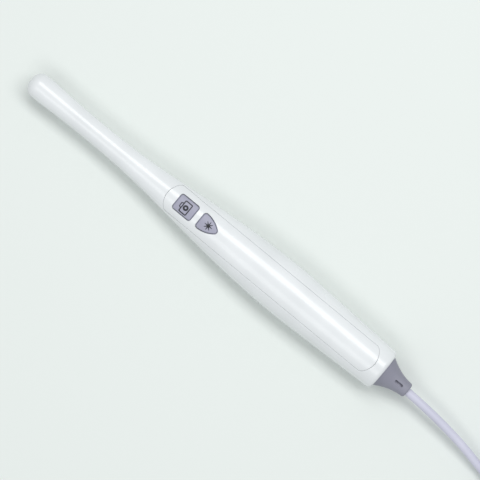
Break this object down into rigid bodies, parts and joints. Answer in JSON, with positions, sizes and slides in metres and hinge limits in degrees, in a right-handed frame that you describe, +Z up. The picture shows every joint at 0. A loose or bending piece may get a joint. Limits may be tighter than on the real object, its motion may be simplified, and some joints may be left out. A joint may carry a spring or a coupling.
{
  "type": "intraoral camera",
  "caption": "Slim hand-held intraoral camera: moulded wand with a lens window and lights under its head, two keys on the handle, a strain relief and a coiled lead with a flat plug.",
  "frame": {"origin": "under the middle of the wand with its strain relief, on the surface that the flattened belly rests on", "axes": "+X along the wand from its tip to its lead, +Z up through the keys, +Y to the left of the tip-to-lead direction"},
  "size_m": [0.3685, 0.0352, 0.0201],
  "materials": {
    "white_plastic": "smooth white moulding",
    "key_plastic": "satin grey-lilac",
    "relief_rubber": "soft grey",
    "cable_jacket": "light grey-lavender jacket",
    "board": "green solder mask",
    "black_plastic": "black moulding",
    "pale_plastic": "natural nylon",
    "flex_film": "amber film",
    "led_resin": "pale phosphor resin",
    "lens_glass": "coated glass",
    "window_glass": "tinted window",
    "steel": "plain steel",
    "plated_steel": "nickel plated",
    "contact_gold": "gold plated"
  },
  "bodies": {
    "handpiece": {"upper_shell": "white_plastic", "lower_shell": "white_plastic", "top_panel": "white_plastic", "capture_switch": "black_plastic", "light_switch": "black_plastic", "lens_window": "window_glass", "led_board": "board", "leds": "led_resin", "front_lens": "lens_glass", "lens_barrel": "black_plastic", "rear_lens": "lens_glass", "lens_holder": "black_plastic", "image_sensor": "black_plastic", "sensor_board": "board", "head_flex": "flex_film", "main_board": "board", "board_screws": "steel", "processor_chip": "black_plastic", "memory_chip": "black_plastic", "crystal": "steel", "flex_connector": "pale_plastic", "cable_connector": "pale_plastic", "cable_wires": "cable_jacket", "strain_relief": "relief_rubber", "crimp_ring": "steel", "cable_lead": "cable_jacket", "cable_coil": "cable_jacket", "cable_ties": "black_plastic", "cable_tail": "cable_jacket", "plug_body": "relief_rubber", "plug_shell": "plated_steel", "plug_insert": "black_plastic", "plug_contacts": "contact_gold"},
    "capture_key": {"capture_button": "key_plastic", "capture_switch_stem": "pale_plastic"},
    "light_key": {"light_button": "key_plastic", "light_switch_stem": "pale_plastic"}
  },
  "joints": [
    {"name": "capture_key_press", "type": "slide", "parent": "handpiece", "child": "capture_key", "axis": [0, 0, -1], "range_m": [0, 0.00035], "stiffness_N_per_m": 3000, "springref_m": -0.0002},
    {"name": "light_key_press", "type": "slide", "parent": "handpiece", "child": "light_key", "axis": [0, 0, -1], "range_m": [0, 0.00035], "stiffness_N_per_m": 3000, "springref_m": -0.0002}
  ]
}
